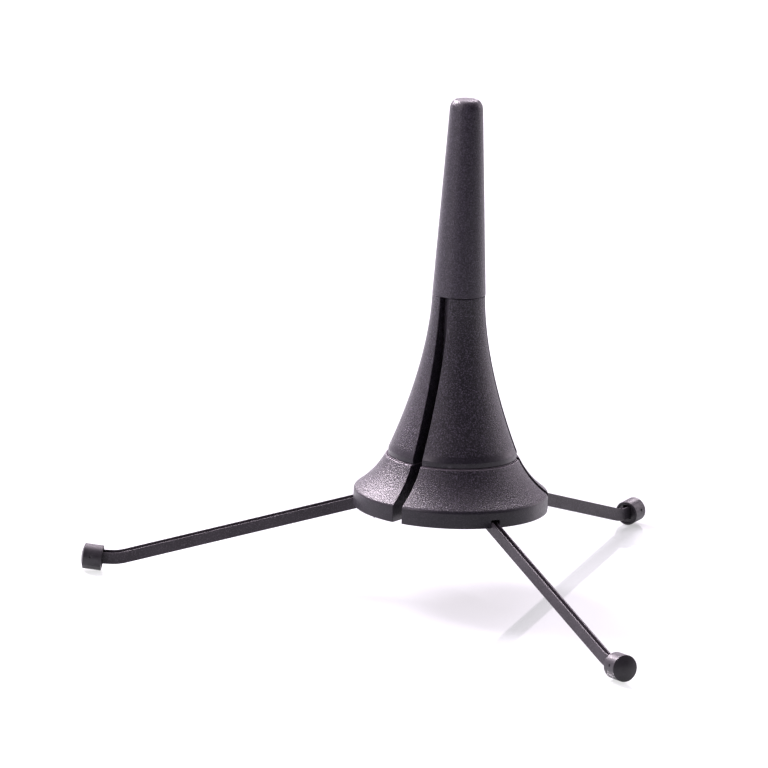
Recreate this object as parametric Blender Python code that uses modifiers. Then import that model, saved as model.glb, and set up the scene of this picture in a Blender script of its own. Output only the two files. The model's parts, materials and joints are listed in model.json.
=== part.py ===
"""Folding in-bell peg stand for a trumpet: a slotted flared body with a tapered peg, on three hinged legs.

The peg's axis is Z and the underside of the rim is z = 0. The front leg points along -Y. The legs hinge in a
hub that hangs inside the body on a spring-loaded bolt: pulled down, the hub lets the legs out of the rim's
notches.
"""

import math

import bmesh
import bpy
from mathutils import Matrix, Vector

# Driving dimensions, in metres.
FLOOR_Z = -0.03945
GAP = 0.0003

RIM_RADIUS = 0.045
RIM_BAND_TOP = 0.0067
RIM_CORNER = 0.0022
LIP_RADIUS = 0.0306
LIP_Z = 0.0240
COLLAR_RADIUS = 0.0297
FLARE_BOTTOM_Z = 0.0276
FLARE_BOTTOM_RADIUS = 0.02935
FLARE_POWER = 1.72
FLANGE_SAG = 0.0012
SKIN = 0.0024
POCKET_TOP_Z = 0.070

SEAM_Z = 0.0996
SEAM_RADIUS = 0.01225
PEG_TOP_Z = 0.1901
PEG_TOP_RADIUS = 0.00765
PEG_CORNER = 0.0036
PEG_CROWN = 0.0050
PEG_WALL = 0.0024
SPIGOT_RADIUS = 0.0081
SPIGOT_TOP_Z = 0.1180

CORE_RADIUS = 0.0085
BORE_RADIUS = 0.0062
LEDGE_Z = 0.0156
LEDGE_TOP_Z = 0.0195
CHAMBER_RADIUS = 0.0250

SLOT_WIDTH = 0.0048
RIB_WALL = 0.0018
NOTCH_WIDTH = 0.0046
NOTCH_HEIGHT = 0.0039

PIVOT_RADIUS = 0.0180
PIVOT_Z = 0.00752
LEG_SLOPE = math.radians(16.6)
LEG_WIDTH = 0.0038
LEG_HEIGHT = 0.0062
LEG_LOW_WALL = 0.0055
LEG_STEEL = 0.0008
LEG_BEND_RADIUS = 0.1540
LEG_END_RADIUS = 0.1676
LEG_BEND_BLEND = 0.0035

HUB_RADIUS = 0.0132
HUB_TOP_Z = 0.0135
LOBE_RADIUS = 0.0230
LOBE_WIDTH = 0.0125
LOBE_BOTTOM_Z = 0.0015
CLEVIS_WIDTH = 0.0044
CLEVIS_BACK = 0.0146

PIN_RADIUS = 0.0010
PIN_HEAD_RADIUS = 0.0018
PIN_HEAD = 0.0008
PIN_FIT = 0.00015
CLIP_RADIUS = 0.0024
CLIP_THICKNESS = 0.0005

BOLT_RADIUS = 0.0020
BOLT_BOTTOM_Z = 0.0060
BOLT_HEAD_Z = 0.0440
BOLT_HEAD_RADIUS = 0.0039
BOLT_HEAD_HEIGHT = 0.0030
HEX_RADIUS = 0.0019
HEX_DEPTH = 0.0018
INSERT_RADIUS = 0.0032
INSERT_BOTTOM_Z = 0.0045
SPRING_MEAN_RADIUS = 0.0046
SPRING_WIRE_RADIUS = 0.0005
SPRING_TURNS = 8
WASHER_THICKNESS = 0.0008
WASHER_RADIUS = 0.0056

CAP_RADIUS = 0.00595
CAP_LENGTH = 0.0087
CAP_DOME = 0.0012
CAP_INNER_RADIUS = 0.16085
CAP_TILT = math.radians(5.1)
CAP_MOUTH_RADIUS = 0.0049
CAP_MOUTH_DEPTH = 0.0009
DIMPLE_RADIUS = 0.0007
DIMPLE_DEPTH = 0.0006

BODY_STEPS = 48
PEG_STEPS = 40
SMALL_STEPS = 24

# Azimuths about Z, measured from +X: the legs, and the slots halfway between them.
LEG_ANGLES = {"front": -90.0, "left": 150.0, "right": 30.0}
SLOT_ANGLES = [-30.0, 90.0, 210.0]


def clear_scene():
    for old in list(bpy.data.objects):
        bpy.data.objects.remove(old, do_unlink=True)


def new_collection(name):
    collection = bpy.data.collections.new(name)
    bpy.context.scene.collection.children.link(collection)
    return collection


def make_material(name, colour, roughness, metallic=0.0):
    material = bpy.data.materials.new(name)
    material.use_nodes = True
    shader = material.node_tree.nodes["Principled BSDF"]
    shader.inputs["Base Color"].default_value = (*colour, 1.0)
    shader.inputs["Roughness"].default_value = roughness
    shader.inputs["Metallic"].default_value = metallic
    return material


clear_scene()
PARTS = new_collection("trumpet_peg_stand")
CUTTERS = new_collection("cutters")


def add_mesh(name, mesh, collection=PARTS, material=None, parent=None):
    thing = bpy.data.objects.new(name, mesh)
    collection.objects.link(thing)
    if material:
        mesh.materials.append(material)
    if parent:
        thing.parent = parent
    if collection == CUTTERS:
        thing.hide_render = True
        thing.display_type = "WIRE"
    return thing


def finish_bmesh(name, bm, smooth=False):
    bmesh.ops.recalc_face_normals(bm, faces=bm.faces)
    mesh = bpy.data.meshes.new(name)
    bm.to_mesh(mesh)
    bm.free()
    if smooth:
        mesh.shade_smooth()
        mesh.set_sharp_from_angle(angle=math.radians(35))
    return mesh


def turned(name, profile, steps, collection=PARTS, material=None, parent=None, closed=True):
    """A solid of revolution about Z, from (radius, height) points that run down its outer side."""
    mesh = bpy.data.meshes.new(name)
    edges = [(i, i + 1) for i in range(len(profile) - 1)]
    if closed:
        edges.append((len(profile) - 1, 0))
    mesh.from_pydata([(radius, 0.0, height) for radius, height in profile], edges, [])
    thing = add_mesh(name, mesh, collection, material, parent)
    screw = thing.modifiers.new("Turn", "SCREW")
    screw.steps = steps
    screw.render_steps = steps
    screw.use_merge_vertices = True
    screw.merge_threshold = 0.00001
    screw.use_smooth_shade = True
    return thing


def add_box(bm, low, high, turn=0.0):
    """A box from its low to its high corner, then turned about Z."""
    size = Vector(high) - Vector(low)
    middle = (Vector(high) + Vector(low)) / 2
    matrix = Matrix.Rotation(math.radians(turn), 4, "Z") @ Matrix.Translation(middle)
    bmesh.ops.create_cube(bm, size=1.0, matrix=matrix @ Matrix.Diagonal((*size, 1.0)))


def radial_boxes(name, angles, inner, outer, width, bottom, top):
    """One cutter or solid made of a box along each of the given azimuths."""
    bm = bmesh.new()
    for angle in angles:
        add_box(bm, (inner, -width / 2, bottom), (outer, width / 2, top), angle)
    return add_mesh(name, finish_bmesh(name, bm), CUTTERS)


def add_cylinder(bm, radius, length, matrix, steps=SMALL_STEPS):
    bmesh.ops.create_cone(bm, cap_ends=True, segments=steps, radius1=radius, radius2=radius,
                          depth=length, matrix=matrix)


def boolean(target, other, operation="DIFFERENCE"):
    modifier = target.modifiers.new(other.name, "BOOLEAN")
    modifier.operation = operation
    modifier.solver = "EXACT"
    modifier.object = other


def arc(start, end, sag, count):
    """Points from start to end along an arc that bows by sag to the right of that direction."""
    start = Vector(start)
    end = Vector(end)
    chord = end - start
    side = Vector((chord.y, -chord.x)).normalized()
    radius = chord.length ** 2 / (8 * abs(sag)) + abs(sag) / 2
    centre = (start + end) / 2 + side * (sag - math.copysign(radius, sag))
    sweep = (end - centre).angle_signed(start - centre)
    return [tuple(centre + Matrix.Rotation(sweep * i / count, 2) @ (start - centre))
            for i in range(count + 1)]


def flat_plate(name, outline, thickness, side=0.0):
    """An upright plate in the local XZ plane from its outline, centred on y = side."""
    curve = bpy.data.curves.new(name, "CURVE")
    curve.dimensions = "2D"
    curve.fill_mode = "BOTH"
    curve.extrude = thickness / 2
    spline = curve.splines.new("POLY")
    spline.points.add(len(outline) - 1)
    for point, (along, height) in zip(spline.points, outline):
        point.co = (along, height, 0.0, 1.0)
    spline.use_cyclic_u = True
    holder = bpy.data.objects.new(name, curve)
    CUTTERS.objects.link(holder)
    graph = bpy.context.evaluated_depsgraph_get()
    mesh = bpy.data.meshes.new_from_object(holder.evaluated_get(graph))
    bpy.data.objects.remove(holder, do_unlink=True)
    bpy.data.curves.remove(curve)
    mesh.transform(Matrix.Translation((0.0, side, 0.0)) @ Matrix.Rotation(math.radians(90), 4, "X"))
    bm = bmesh.new()
    bm.from_mesh(mesh)
    bpy.data.meshes.remove(mesh)
    bmesh.ops.remove_doubles(bm, verts=bm.verts, dist=0.000001)
    return finish_bmesh(name, bm)


def flare_radius(height):
    """The body's outer radius between the collar and the seam: a horn that widens downwards."""
    down = (SEAM_Z + GAP - height) / (SEAM_Z + GAP - FLARE_BOTTOM_Z)
    return SEAM_RADIUS + (FLARE_BOTTOM_RADIUS - SEAM_RADIUS) * max(down, 0.0) ** FLARE_POWER


def flare_points(top, bottom, count, inset=0.0):
    heights = [top + (bottom - top) * i / count for i in range(count + 1)]
    return [(flare_radius(height) - inset, height) for height in heights]


def flange_points(count):
    """The flange's hollow slope, its rounded outer corner and the rim band down to z = 0."""
    corner = Vector((RIM_RADIUS - RIM_CORNER, RIM_BAND_TOP))
    bend = [tuple(corner + Matrix.Rotation(math.radians(angle), 2) @ Vector((RIM_CORNER, 0.0)))
            for angle in (52, 26, 0)]
    slope = arc((LIP_RADIUS + 0.0004, LIP_Z - 0.0004), bend[0], FLANGE_SAG, count)
    return slope + bend[1:] + [(RIM_RADIUS, 0.0004), (RIM_RADIUS - 0.0004, 0.0)]


def leg_guides(name):
    """A thin upright wall on each side of each leg, from the hub's chamber to the rim."""
    near = NOTCH_WIDTH / 2 + 0.0001
    bm = bmesh.new()
    for angle in LEG_ANGLES.values():
        for low, high in ((-near - RIB_WALL, -near), (near, near + RIB_WALL)):
            add_box(bm, (CHAMBER_RADIUS + 0.0006, low, -0.002), (0.050, high, 0.110), angle)
    return add_mesh(name, finish_bmesh(name, bm), CUTTERS)


def make_bell_body(material):
    outer = flare_points(SEAM_Z, FLARE_BOTTOM_Z, 12)
    collar = [(COLLAR_RADIUS - 0.0001, 0.0267), (COLLAR_RADIUS, 0.0256), (COLLAR_RADIUS, 0.0235),
              (COLLAR_RADIUS - 0.0006, 0.0230), (COLLAR_RADIUS + 0.0003, 0.0229),
              (LIP_RADIUS - 0.0003, 0.0238), (LIP_RADIUS, LIP_Z)]
    inside = [(CHAMBER_RADIUS, 0.0), (CHAMBER_RADIUS, LEDGE_Z), (BOLT_RADIUS + 0.0004, LEDGE_Z),
              (BOLT_RADIUS + 0.0004, LEDGE_TOP_Z), (BORE_RADIUS, LEDGE_TOP_Z), (BORE_RADIUS, SPIGOT_TOP_Z)]
    spigot = [(SPIGOT_RADIUS, SPIGOT_TOP_Z), (SPIGOT_RADIUS, SEAM_Z)]
    body = turned("bell_body", spigot + outer + collar + flange_points(6) + inside, BODY_STEPS,
                  material=material)

    # The hollow between the skin and the core, with a rib left on each side of each slot and each leg.
    skin = [(RIM_RADIUS - SKIN, -0.001), (CORE_RADIUS, -0.001), (CORE_RADIUS, POCKET_TOP_Z)]
    skin += flare_points(POCKET_TOP_Z, 0.026, 6, SKIN)
    skin += [(0.0277, 0.0195), (RIM_RADIUS - SKIN, 0.0056)]
    pocket = turned("pocket", skin, BODY_STEPS, CUTTERS)
    boolean(pocket, radial_boxes("ribs", SLOT_ANGLES, 0.0070, 0.050, SLOT_WIDTH + 2 * RIB_WALL, -0.002, 0.11))
    boolean(pocket, leg_guides("guides"))
    boolean(body, radial_boxes("notches", LEG_ANGLES.values(), 0.0390, 0.050, NOTCH_WIDTH, -0.005,
                               NOTCH_HEIGHT))
    boolean(body, pocket)
    boolean(body, radial_boxes("slots", SLOT_ANGLES, CORE_RADIUS, 0.050, SLOT_WIDTH, -0.005, 0.1010))


def make_peg(material):
    low = SEAM_Z + GAP
    crown = PEG_TOP_Z - PEG_CROWN
    bend = [(PEG_TOP_RADIUS - PEG_CORNER + PEG_CORNER * math.sin(math.radians(angle)),
             crown + PEG_CROWN * math.cos(math.radians(angle))) for angle in (0, 22.5, 45, 67.5, 90)]
    hollow = [(SPIGOT_RADIUS + GAP, low), (SPIGOT_RADIUS + GAP, SPIGOT_TOP_Z + 0.002),
              (PEG_TOP_RADIUS - PEG_WALL, crown), (0.0, crown + 0.001)]
    foot = [(SEAM_RADIUS, low + 0.0004), (SEAM_RADIUS - 0.0004, low)]
    turned("peg", [(0.0, PEG_TOP_Z)] + bend + foot + hollow, PEG_STEPS, material=material, closed=False)


def tangent_cylinders(name, radius, length):
    """One cylinder through each leg's hinge line."""
    bm = bmesh.new()
    for angle in LEG_ANGLES.values():
        turn = Matrix.Rotation(math.radians(angle), 4, "Z")
        matrix = turn @ Matrix.Translation((PIVOT_RADIUS, 0.0, PIVOT_Z))
        add_cylinder(bm, radius, length, matrix @ Matrix.Rotation(math.radians(90), 4, "X"), 16)
    return add_mesh(name, finish_bmesh(name, bm), CUTTERS)


def make_hub(material):
    bm = bmesh.new()
    add_cylinder(bm, HUB_RADIUS, HUB_TOP_Z, Matrix.Translation((0.0, 0.0, HUB_TOP_Z / 2)), BODY_STEPS)
    hub = add_mesh("leg_hub", finish_bmesh("leg_hub", bm, smooth=True), PARTS, material)
    boolean(hub, radial_boxes("lobes", LEG_ANGLES.values(), 0.0050, LOBE_RADIUS, LOBE_WIDTH, LOBE_BOTTOM_Z,
                              HUB_TOP_Z - 0.0005), "UNION")
    boolean(hub, radial_boxes("clevises", LEG_ANGLES.values(), CLEVIS_BACK, 0.030, CLEVIS_WIDTH, -0.001,
                              0.020))
    boolean(hub, tangent_cylinders("pin_holes", PIN_RADIUS + PIN_FIT, LOBE_WIDTH + 0.002))
    bm = bmesh.new()
    bottom = INSERT_BOTTOM_Z - GAP
    add_cylinder(bm, INSERT_RADIUS + PIN_FIT, 0.020, Matrix.Translation((0.0, 0.0, bottom + 0.010)))
    boolean(hub, add_mesh("insert_hole", finish_bmesh("insert_hole", bm), CUTTERS))


def ring(name, inner, outer, bottom, top, material, parent=None, steps=SMALL_STEPS):
    return turned(name, [(outer, top), (outer, bottom), (inner, bottom), (inner, top)], steps,
                  material=material, parent=parent)


def make_bolt(material):
    head = BOLT_HEAD_Z
    top = head + BOLT_HEAD_HEIGHT
    bolt = turned("centre_bolt", [(0.0, top), (BOLT_HEAD_RADIUS - 0.0004, top),
                                  (BOLT_HEAD_RADIUS, top - 0.0004), (BOLT_HEAD_RADIUS, head),
                                  (BOLT_RADIUS, head),
                                  (BOLT_RADIUS, BOLT_BOTTOM_Z + 0.0005),
                                  (BOLT_RADIUS - 0.0005, BOLT_BOTTOM_Z), (0.0, BOLT_BOTTOM_Z)],
                  SMALL_STEPS, material=material, closed=False)
    bm = bmesh.new()
    add_cylinder(bm, HEX_RADIUS, 2 * HEX_DEPTH, Matrix.Translation((0.0, 0.0, top)), 6)
    boolean(bolt, add_mesh("hex_socket", finish_bmesh("hex_socket", bm), CUTTERS))


def make_spring(material):
    """A compression coil with a flat turn at each end, standing on the ledge."""
    low = LEDGE_TOP_Z + GAP + SPRING_WIRE_RADIUS
    high = BOLT_HEAD_Z - WASHER_THICKNESS - 2 * GAP - SPRING_WIRE_RADIUS
    per_turn = 12
    count = SPRING_TURNS * per_turn
    flat = 1.15 * 2 * SPRING_WIRE_RADIUS
    curve = bpy.data.curves.new("return_spring", "CURVE")
    curve.dimensions = "3D"
    curve.bevel_depth = SPRING_WIRE_RADIUS
    curve.bevel_resolution = 2
    curve.use_fill_caps = True
    spline = curve.splines.new("POLY")
    spline.points.add(count)
    for index in range(count + 1):
        turn = index / per_turn
        if turn < 1:
            height = low + flat * turn
        elif turn > SPRING_TURNS - 1:
            height = high - flat * (SPRING_TURNS - turn)
        else:
            height = low + flat + (high - low - 2 * flat) * (turn - 1) / (SPRING_TURNS - 2)
        angle = 2 * math.pi * turn
        spline.points[index].co = (SPRING_MEAN_RADIUS * math.cos(angle), SPRING_MEAN_RADIUS * math.sin(angle),
                                   height, 1.0)
    spring = bpy.data.objects.new("return_spring", curve)
    PARTS.objects.link(spring)
    curve.materials.append(material)


def leg_outline():
    """The leg's side view, from the hinge outwards: a rounded heel, a long straight run and a level foot."""
    along = Vector((math.cos(LEG_SLOPE), -math.sin(LEG_SLOPE)))
    across = Vector((math.sin(LEG_SLOPE), math.cos(LEG_SLOPE)))
    half = LEG_HEIGHT / 2
    reach = (LEG_BEND_RADIUS - PIVOT_RADIUS) / math.cos(LEG_SLOPE)
    level = LEG_END_RADIUS - LEG_BEND_RADIUS
    bottom = along * reach - across * half
    top = along * reach + across * half + Vector((LEG_HEIGHT * math.tan(LEG_SLOPE / 2), 0.0)) * 0.5
    blend = LEG_BEND_BLEND
    heel = [tuple(half * (across * math.cos(math.radians(a)) - along * math.sin(math.radians(a))))
            for a in range(0, 181, 20)]
    lower = [tuple(bottom - along * blend), tuple(bottom - along * blend / 3 + Vector((0, 0.00008))),
             tuple(bottom + Vector((blend / 3, 0.00008))), tuple(bottom + Vector((blend, 0.0))),
             (bottom.x + level, bottom.y)]
    high = bottom.y + LEG_HEIGHT
    upper = [(bottom.x + level, high), (top.x + blend, high), (top.x, high + 0.00025),
             tuple(top + Vector((-blend, blend * math.tan(LEG_SLOPE))))]
    return heel + lower + upper, bottom, along, across


def raised(points, rise):
    return [(x, z + rise) for x, z in points]


def make_leg(side, hinge, materials):
    outline, bottom, along, across = leg_outline()
    plate = flat_plate(f"leg_{side}", outline, LEG_WIDTH)
    leg = add_mesh(f"leg_{side}", plate, PARTS, materials["leg"], hinge)

    # The channel's inside: everything over the web, open at the top and at both ends.
    start = -along * 0.010 - across * (LEG_HEIGHT / 2)
    level = LEG_END_RADIUS - LEG_BEND_RADIUS + 0.010
    floor = [tuple(start), tuple(bottom - along * LEG_BEND_BLEND),
             tuple(bottom + Vector((LEG_BEND_BLEND, 0.0))), (bottom.x + level, bottom.y)]
    ceiling = [(bottom.x + level, bottom.y + 0.020), (start.x, start.y + 0.020)]
    inside = flat_plate(f"channel_{side}", raised(floor, LEG_STEEL) + ceiling, LEG_WIDTH - 2 * LEG_STEEL)
    boolean(leg, add_mesh(f"channel_{side}", inside, CUTTERS, parent=hinge))

    # The wall on the leg's left side is the lower one of the two, from just past the hub.
    clear = along * 0.012 - across * (LEG_HEIGHT / 2)
    floor[0] = tuple(clear)
    step = flat_plate(f"step_{side}", raised(floor, LEG_LOW_WALL) + [ceiling[0], (clear.x, clear.y + 0.020)],
                      LEG_WIDTH, LEG_WIDTH - LEG_STEEL - 0.0001)
    boolean(leg, add_mesh(f"step_{side}", step, CUTTERS, parent=hinge))

    bm = bmesh.new()
    crosswise = Matrix.Rotation(math.radians(90), 4, "X")
    add_cylinder(bm, PIN_RADIUS + PIN_FIT, 0.010, crosswise, 16)
    boolean(leg, add_mesh(f"eye_{side}", finish_bmesh(f"eye_{side}", bm), CUTTERS, parent=hinge))

    width = LEG_WIDTH - 2 * LEG_STEEL - 2 * GAP / 3
    bush = ring(f"leg_bush_{side}", PIN_RADIUS + PIN_FIT, 0.0021, -width / 2, width / 2, materials["nylon"],
                hinge, 20)
    bush.rotation_euler = (math.radians(90), 0.0, 0.0)


def make_cap(side, hinge, material):
    """A dipped rubber cap, turned about its own axis, with a mouth and a socket for the leg's end."""
    start = Vector((CAP_INNER_RADIUS - PIVOT_RADIUS, 0.0,
                    FLOOR_Z + CAP_RADIUS * math.cos(CAP_TILT) - PIVOT_Z))
    radius = (CAP_RADIUS ** 2 + CAP_DOME ** 2) / (2 * CAP_DOME)
    lean = math.asin(CAP_RADIUS / radius)
    dome = [(radius * math.sin(lean * part), CAP_LENGTH + CAP_DOME - radius * (1 - math.cos(lean * part)))
            for part in (0.0, 0.3, 0.55, 0.8, 0.97)]
    mouth = [(CAP_RADIUS, CAP_LENGTH - 0.0002), (CAP_RADIUS, 0.0), (CAP_MOUTH_RADIUS, 0.0),
             (CAP_MOUTH_RADIUS, CAP_MOUTH_DEPTH), (0.0, CAP_MOUTH_DEPTH)]
    cap = turned(f"foot_cap_{side}", dome + mouth, SMALL_STEPS, material=material, parent=hinge, closed=False)
    cap.location = start
    cap.rotation_euler = (0.0, math.radians(90) - CAP_TILT, 0.0)

    low = PIVOT_Z + leg_outline()[1].y
    bm = bmesh.new()
    add_box(bm, (CAP_INNER_RADIUS - 0.003 - PIVOT_RADIUS, -LEG_WIDTH / 2 - GAP, low - GAP - PIVOT_Z),
            (LEG_END_RADIUS + GAP - PIVOT_RADIUS, LEG_WIDTH / 2 + GAP, low + LEG_HEIGHT + GAP - PIVOT_Z))
    boolean(cap, add_mesh(f"socket_{side}", finish_bmesh(f"socket_{side}", bm), CUTTERS, parent=hinge))

    bm = bmesh.new()
    middle = start + Vector((CAP_LENGTH * 0.57, 0.0, 0.0018))
    for across in (-1, 1):
        spot = middle + Vector((0.0, across * (CAP_RADIUS - DIMPLE_DEPTH + 0.001), 0.0))
        matrix = Matrix.Translation(spot) @ Matrix.Rotation(math.radians(90), 4, "X")
        add_cylinder(bm, DIMPLE_RADIUS, 0.002, matrix, 10)
    boolean(cap, add_mesh(f"dimples_{side}", finish_bmesh(f"dimples_{side}", bm), CUTTERS, parent=hinge))


def make_pin(side, hinge, materials):
    """A headed pin through the hub's lobe, held at its plain end by a push-on clip."""
    half = LOBE_WIDTH / 2 + GAP
    end = half + CLIP_THICKNESS + 0.0009
    pin = turned(f"hinge_pin_{side}", [(0.0, half + PIN_HEAD), (PIN_HEAD_RADIUS - 0.0004, half + PIN_HEAD),
                                       (PIN_HEAD_RADIUS, half + PIN_HEAD - 0.0004), (PIN_HEAD_RADIUS, half),
                                       (PIN_RADIUS, half), (PIN_RADIUS, -end + 0.0003),
                                       (PIN_RADIUS - 0.0003, -end), (0.0, -end)],
                 16, material=materials["steel"], parent=hinge, closed=False)
    pin.rotation_euler = (math.radians(90), 0.0, 0.0)
    clip = ring(f"pin_clip_{side}", PIN_RADIUS + 0.0001, CLIP_RADIUS, -half - CLIP_THICKNESS, -half,
                materials["steel"], hinge, 16)
    clip.rotation_euler = (math.radians(90), 0.0, 0.0)


def main():
    body_black = make_material("body_black", (0.030, 0.027, 0.032), 0.50)
    peg_black = make_material("peg_black", (0.026, 0.024, 0.029), 0.42)
    materials = {
        "leg": make_material("leg_paint", (0.045, 0.042, 0.047), 0.45, 0.1),
        "nylon": make_material("nylon", (0.62, 0.60, 0.55), 0.45),
        "steel": make_material("steel", (0.55, 0.55, 0.56), 0.30, 1.0),
    }
    rubber = make_material("cap_rubber", (0.022, 0.021, 0.024), 0.40)
    brass = make_material("insert_brass", (0.72, 0.55, 0.25), 0.30, 1.0)
    hub_black = make_material("hub_black", (0.032, 0.030, 0.034), 0.50)

    make_bell_body(body_black)
    make_peg(peg_black)
    make_spring(materials["steel"])
    make_hub(hub_black)
    make_bolt(materials["steel"])
    washer_top = BOLT_HEAD_Z - GAP
    ring("bolt_washer", BOLT_RADIUS + 0.0002, WASHER_RADIUS, washer_top - WASHER_THICKNESS, washer_top,
         materials["steel"])
    ring("thrust_washer", BOLT_RADIUS + 0.0006, CORE_RADIUS - 0.0005, HUB_TOP_Z + GAP, LEDGE_Z - GAP,
         materials["nylon"], steps=32)
    ring("hub_insert", BOLT_RADIUS + 0.0001, INSERT_RADIUS, INSERT_BOTTOM_Z, HUB_TOP_Z - 0.0002, brass)

    for side, angle in LEG_ANGLES.items():
        hinge = bpy.data.objects.new(f"hinge_{side}", None)
        PARTS.objects.link(hinge)
        turn = math.radians(angle)
        hinge.location = (PIVOT_RADIUS * math.cos(turn), PIVOT_RADIUS * math.sin(turn), PIVOT_Z)
        hinge.rotation_euler = (0.0, 0.0, turn)
        make_leg(side, hinge, materials)
        make_cap(side, hinge, rubber)
        make_pin(side, hinge, materials)


main()
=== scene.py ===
import json
import math

import bmesh
import bpy
from mathutils import Matrix, Vector


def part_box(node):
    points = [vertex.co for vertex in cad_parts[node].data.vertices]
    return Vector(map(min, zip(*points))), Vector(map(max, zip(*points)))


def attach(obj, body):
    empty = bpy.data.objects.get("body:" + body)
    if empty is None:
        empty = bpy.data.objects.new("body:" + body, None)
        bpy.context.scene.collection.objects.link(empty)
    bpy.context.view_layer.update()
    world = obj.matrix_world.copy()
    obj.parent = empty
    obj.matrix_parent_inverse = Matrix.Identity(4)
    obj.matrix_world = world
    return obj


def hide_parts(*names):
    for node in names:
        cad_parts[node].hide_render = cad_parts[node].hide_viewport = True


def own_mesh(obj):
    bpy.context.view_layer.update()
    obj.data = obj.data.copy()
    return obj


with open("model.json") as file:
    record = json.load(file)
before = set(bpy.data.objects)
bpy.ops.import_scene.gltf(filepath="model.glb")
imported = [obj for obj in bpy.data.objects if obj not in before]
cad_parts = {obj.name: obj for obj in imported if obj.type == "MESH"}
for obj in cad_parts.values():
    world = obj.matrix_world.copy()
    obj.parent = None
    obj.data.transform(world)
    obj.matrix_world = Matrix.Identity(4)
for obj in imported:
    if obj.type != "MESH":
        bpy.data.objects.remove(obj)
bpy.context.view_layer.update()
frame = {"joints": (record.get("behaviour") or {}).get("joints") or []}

MM = 0.001

# Places taken from the frame. Lengths here and below are in millimetres, and angles in degrees.
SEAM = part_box("peg")[0].z / MM
PEG_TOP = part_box("peg")[1].z / MM
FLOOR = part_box("foot_cap_front")[0].z / MM
HINGES = {}
for joint in frame["joints"]:
    if joint["type"] == "hinge":
        HINGES[joint["child"].replace("_leg", "")] = Vector(joint["pos_m"])
PIVOT_RADIUS = HINGES["front"].xy.length / MM
PIVOT_Z = HINGES["front"].z / MM

# The body.
RIM = 45.0
RIM_CORNER = 2.2
SLOT = 4.8
SLOT_ANGLES = (-30.0, 90.0, 210.0)
FLARE_TOP_Z = 99.9
FLARE_DROP = 72.3
FLARE_TOP_RADIUS = 12.25
FLARE_GROWTH = 17.1
FLARE_POWER = 1.72
SHELL = 2.4
CORE_RADIUS = 8.5
LEDGE_Z = 15.6
RIB_SIDE = 4.2
NOTCH_HALF = 2.3

# The peg's crown: a flat disc and an elliptical corner round it.
CROWN_FLAT = 4.05
CROWN_WIDTH = 3.6
CROWN_HEIGHT = 5.0

# The hub and the pins.
PIN_BORE = 1.15
PIN_HALF = 6.55

# The legs, measured from their pivots: the slope, the level of the foot, the bend's radius and the end.
LEAN = 16.6
LEVEL = -40.41
BEND = 24.0
LEG_END = 148.7
CHANNEL_HALF_WIDTH = 1.9
CHANNEL_HALF_HEIGHT = 3.1
CHANNEL_WALL = 0.8
LOW_WALL = 0.7

# The rubber caps.
CAP_RADIUS = 5.95
CAP_LENGTH = 8.7
CAP_RISE = 1.2
CAP_TILT = 5.1
CAP_START = 160.85


# ---------------------------------------------------------------- geometry helpers, in millimetres

def turn(v, angle):
    """The vector v turned by an angle in radians."""
    cos, sin = math.cos(angle), math.sin(angle)
    return Vector((v.x * cos - v.y * sin, v.x * sin + v.y * cos))


def fillet(points, closed=False, step=12.0):
    """A line of (x, y) from (x, y, radius) points, with every corner rounded to its radius."""
    line = []
    for i, (x, y, radius) in enumerate(points):
        here = Vector((x, y))
        if radius <= 0 or (not closed and i in (0, len(points) - 1)):
            line.append((x, y))
            continue
        before = Vector(points[i - 1][:2]) - here
        after = Vector(points[(i + 1) % len(points)][:2]) - here
        half = before.angle(after) / 2
        reach = min(radius / math.tan(half), before.length * 0.49, after.length * 0.49)
        radius = reach * math.tan(half)
        centre = here + (before.normalized() + after.normalized()).normalized() * radius / math.sin(half)
        start = here + before.normalized() * reach - centre
        end = here + after.normalized() * reach - centre
        swing = math.atan2(start.x * end.y - start.y * end.x, start.dot(end))
        count = max(2, round(abs(math.degrees(swing)) / step))
        line += [tuple(centre + turn(start, swing * k / count)) for k in range(count + 1)]
    return line


def lathe(profile, steps=96):
    """A solid turned about Z from (radius, height) points, open only where the line meets the axis."""
    bm = bmesh.new()
    rings = []
    for radius, height in profile:
        count = 1 if radius < 1e-6 else steps
        rings.append([bm.verts.new((radius * MM * math.cos(2 * math.pi * k / steps),
                                    radius * MM * math.sin(2 * math.pi * k / steps), height * MM))
                      for k in range(count)])
    pairs = list(zip(rings, rings[1:]))
    if len(rings[0]) > 1 and len(rings[-1]) > 1:
        pairs.append((rings[-1], rings[0]))
    for a, b in pairs:
        for k in range(steps):
            n = k + 1
            loop = [a[k % len(a)], a[n % len(a)], b[n % len(b)], b[k % len(b)]]
            bm.faces.new(dict.fromkeys(loop))
    return bm


def sweep(stations):
    """A closed section of (y, z) points carried along (matrix, section) stations and capped at both ends."""
    bm = bmesh.new()
    rings = [[bm.verts.new(matrix @ Vector((0.0, y * MM, z * MM))) for y, z in section]
             for matrix, section in stations]
    for a, b in zip(rings, rings[1:]):
        for k in range(len(a)):
            n = (k + 1) % len(a)
            bm.faces.new((a[k], a[n], b[n], b[k]))
    bm.faces.new(list(reversed(rings[0])))
    bm.faces.new(rings[-1])
    return bm


def shift(x=0.0, y=0.0, z=0.0):
    return Matrix.Translation((x * MM, y * MM, z * MM))


def about(axis, degrees):
    return Matrix.Rotation(math.radians(degrees), 4, axis)


def bar(outline, near, far, matrix):
    """A straight bar with the given (y, z) outline along local X."""
    return sweep([(matrix @ shift(near), outline), (matrix @ shift(far), outline)])


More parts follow.
